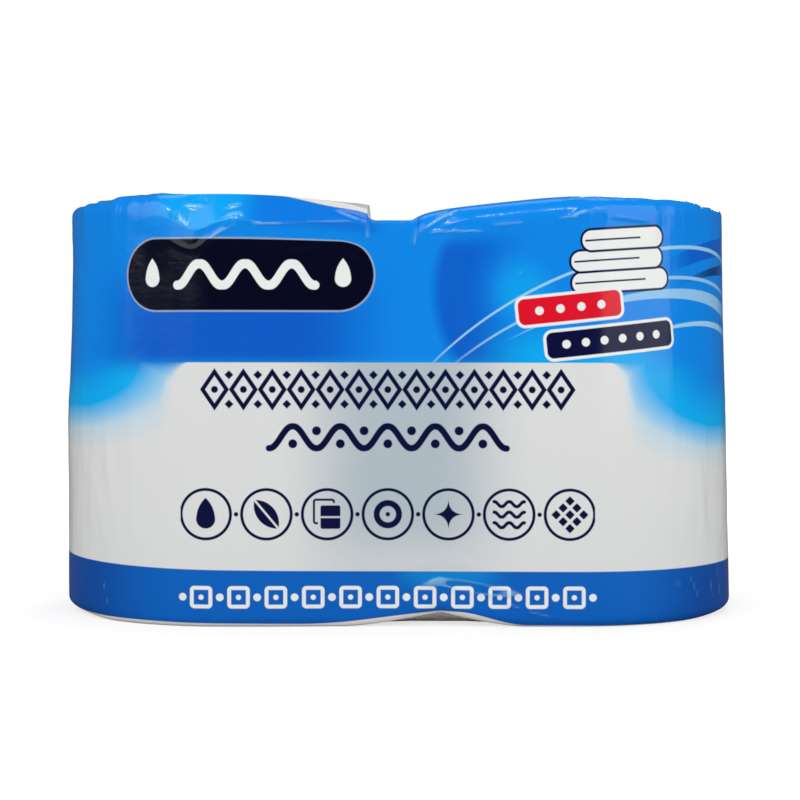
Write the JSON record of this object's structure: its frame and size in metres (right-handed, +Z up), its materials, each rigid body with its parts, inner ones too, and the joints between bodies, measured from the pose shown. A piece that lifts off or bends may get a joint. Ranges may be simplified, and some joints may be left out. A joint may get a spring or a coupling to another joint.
{
  "type": "paper towel roll pack",
  "caption": "Sealed film-wrapped pack of large paper towel rolls standing on their ends, with folded and heat-sealed film over the top and base.",
  "frame": {"origin": "middle of the pack's base, on the surface it stands on", "axes": "+X along the pack, from the left roll to the right roll; +Y from the front to the back; +Z up"},
  "size_m": [0.3536, 0.176, 0.2158],
  "materials": {
    "printed_film": "glossy printed polyethylene film"
  },
  "bodies": {
    "root": {"wrapped_pack": "printed_film"}
  },
  "joints": []
}
